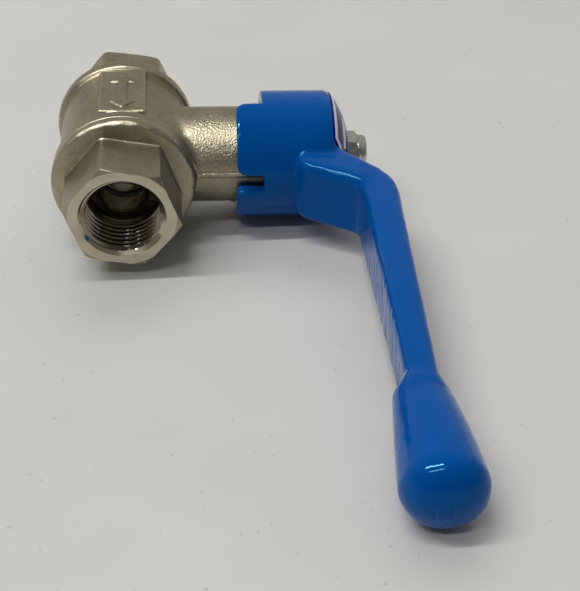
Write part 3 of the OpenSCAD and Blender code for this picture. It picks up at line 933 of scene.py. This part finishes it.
def make_nut():
    """Self-locking nut: chamfered hexagon and a crimped round collar."""
    low, high = NUT_LOW[0], NUT_HIGH[0]
    top = low + 3.7
    half = (NUT_HIGH[1] - NUT_LOW[1]) / 2
    hexagonal = hex_radius(half, 0.0)
    rows = [(3.05, low + 0.3), (3.35, low), (half - 0.2, low)]
    for t in np.linspace(0.05, 0.9, 8):
        rows.append((smooth_least(hexagonal, half - 0.2 + t / math.tan(CHAMFER)), low + t))
    for t in np.linspace(0.9, 0.02, 8):
        rows.append((smooth_least(hexagonal, half - 0.25 + t / math.tan(CHAMFER)), top - t))
    rows += [(half - 0.3, top), (4.78, top + 0.12), (4.68, top + 0.4)]
    for k in range(7):
        a = math.radians(90 * k / 6)
        rows.append((3.9 + 0.75 * math.cos(a), high - 0.85 + 0.85 * math.sin(a)))
    rows += [(3.75, high - 0.05), (3.7, high - 0.35), (3.05, high - 0.45)]
    return turned("lock_nut", rows, "X")


# ---------------------------------------------------------------- build

MARGIN = 1.0
BODY_GRID, HANDLE_GRID = 0.4, 0.42


def build():
    """Makes, finishes and attaches every piece; returns those that may touch the floor."""
    dress_cad_nodes()
    body = carve("valve_body_casting", body_distance, BODY_LOW - MARGIN, BODY_HIGH + MARGIN,
                 BODY_GRID)
    finish_piece(body, "housing", FINISHES["nickel"], ["valve_body"])
    port = make_outlet_port()
    finish_piece(port, "housing", FINISHES["machined"])
    cap = make_end_cap()
    finish_piece(cap, "housing", FINISHES["nickel"], ["end_cap"])
    cap.data.materials.append(FINISHES["machined"])
    cap.data.materials.append(FINISHES["threaded"])
    paint_machined(cap)
    handle = carve("lever_handle_coated", handle_distance, HANDLE_LOW - MARGIN,
                   HANDLE_HIGH + MARGIN, HANDLE_GRID)
    for relief in (coat_waves, wrinkled_edge, runs):
        push_points(handle, relief)
    finish_piece(handle, "lever", FINISHES["blue"], ["lever_handle"])
    for k, ridge in enumerate(SCAR_RIDGES):
        scar = make_scar(f"grip_scar_{k + 1}", ridge)
        finish_piece(scar, "lever", FINISHES["blue"])
    badge = make_badge()
    finish_piece(badge, "lever", FINISHES["navy"], ["name_disc"])
    for piece in make_badge_print():
        finish_piece(piece, "lever", FINISHES["white"])
    nut = make_nut()
    finish_piece(nut, "lever", FINISHES["zinc"], ["handle_nut"])
    return body, cap, handle


def paint_machined(cap):
    """The port's face and mouth get the turned finish, and the rest of it the threaded one."""
    for polygon in cap.data.polygons:
        centre = polygon.center / MM
        radius = math.hypot(centre.x, centre.z)
        if radius < 11 and centre.y > INLET_FACE + 1.2:
            polygon.material_index = 2
        elif radius < 11 or centre.y < INLET_FACE + 0.02:
            polygon.material_index = 1


# ---------------------------------------------------------------- stage, in metres

FLOOR_HALF, FLOOR_FRONT, FLOOR_GAP = 1.5, 0.3, 0.00003
LAMP_HEIGHT = 1.5
CAMERA_PLACE = (0.01329, -0.29873, 0.17468)
CAMERA_RIGHT = (0.9961, -0.0807, 0.0346)
CAMERA_UP = (0.0203, 0.5947, 0.8037)
CAMERA_BACK = (-0.0854, -0.7999, 0.5940)


def mesh_points(*objects):
    """All points of these objects, in millimetres."""
    found = []
    for obj in objects:
        flat = np.zeros(len(obj.data.vertices) * 3)
        obj.data.vertices.foreach_get("co", flat)
        found.append(flat.reshape(-1, 3) / MM)
    return np.concatenate(found)


def resting_plane(points):
    """The plane that the valve lies on: it touches the end cap, the hub and the grip."""
    groups = [points[points[:, 0] < 20], points[(points[:, 0] > 25) & (points[:, 1] > -20)],
              points[points[:, 1] < -100]]
    up = np.array([0.0, 0.0, 1.0])
    for _ in range(8):
        feet = [group[np.argmin(group @ up)] for group in groups]
        up = np.cross(feet[1] - feet[0], feet[2] - feet[0])
        up = up / np.linalg.norm(up) * np.sign(up[2])
    return feet[0], up


def make_floor(points):
    """Plain table top under the lowest points."""
    foot, up = resting_plane(points)
    centre = Vector(foot * MM) - Vector(up) * FLOOR_GAP
    turn = Vector((0, 0, 1)).rotation_difference(Vector(up)).to_matrix().to_4x4()
    mesh = bpy.data.meshes.new("bench")
    half, front = FLOOR_HALF, FLOOR_FRONT
    mesh.from_pydata([(-half, -front, 0), (half, -front, 0), (half, half, 0), (-half, half, 0)],
                     [], [(0, 1, 2, 3)])
    floor = bpy.data.objects.new("bench", mesh)
    bpy.context.scene.collection.objects.link(floor)
    floor.matrix_world = Matrix.Translation(centre) @ turn
    mesh.materials.append(bench_top())


def make_light(name, across, depth, size, power, shades=True, shines=True):
    """A light under the ceiling that shines straight down.

    shades lets it light surfaces and cast their shadows, shines lets glossy surfaces mirror it.
    """
    data = bpy.data.lights.new(name, "AREA")
    data.shape = "RECTANGLE"
    data.size, data.size_y = size
    data.energy = power
    lamp = bpy.data.objects.new(name, data)
    bpy.context.scene.collection.objects.link(lamp)
    lamp.location = (across, depth, LAMP_HEIGHT)
    lamp.visible_diffuse = shades
    lamp.visible_glossy = shines


def make_lights():
    """Long tubes under the ceiling, to the left of the bench, and the dim room around it."""
    make_light("tube_over_bench", -0.78, 0.05, (1.42, 0.035), 13.5, shines=False)
    make_light("tube_over_bench_shine", -0.78, -0.17, (1.42, 0.07), 26.0, shades=False)
    make_light("tube_in_front", -0.70, -0.75, (1.30, 0.03), 6.5)
    make_light("tube_in_front_shine", -0.70, -0.75, (1.30, 0.05), 5.0, shades=False)
    make_light("ceiling_behind", 0.0, 1.5, (2.4, 1.2), 16.0, shines=False)
    world = bpy.data.worlds.new("studio")
    world.use_nodes = True
    tree = world.node_tree
    direction = tree.nodes.new("ShaderNodeTexCoord").outputs["Generated"]
    parts = tree.nodes.new("ShaderNodeSeparateXYZ")
    brightness = tree.nodes.new("ShaderNodeMapRange")
    set_span(brightness, -0.8, 0.7, 0.12, 0.42)
    tree.links.new(direction, parts.inputs["Vector"])
    tree.links.new(parts.outputs["Y"], brightness.inputs["Value"])
    background = tree.nodes["Background"]
    background.inputs["Color"].default_value = (0.93, 0.89, 0.82, 1)
    tree.links.new(brightness.outputs["Result"], background.inputs["Strength"])
    bpy.context.scene.world = world
    bpy.context.scene.view_settings.view_transform = "Standard"


def make_camera():
    """The viewing angle of a person who looks down at the inlet port."""
    data = bpy.data.cameras.new("camera")
    data.sensor_width = 36.0
    data.lens = 79.2
    data.clip_start = 0.01
    camera = bpy.data.objects.new("camera", data)
    bpy.context.scene.collection.objects.link(camera)
    turn = Matrix((CAMERA_RIGHT, CAMERA_UP, CAMERA_BACK)).transposed().to_4x4()
    camera.matrix_world = Matrix.Translation(Vector(CAMERA_PLACE)) @ turn
    bpy.context.scene.camera = camera


make_camera()
make_lights()
body_piece, cap_piece, handle_piece = build()
make_floor(mesh_points(body_piece, cap_piece, handle_piece))
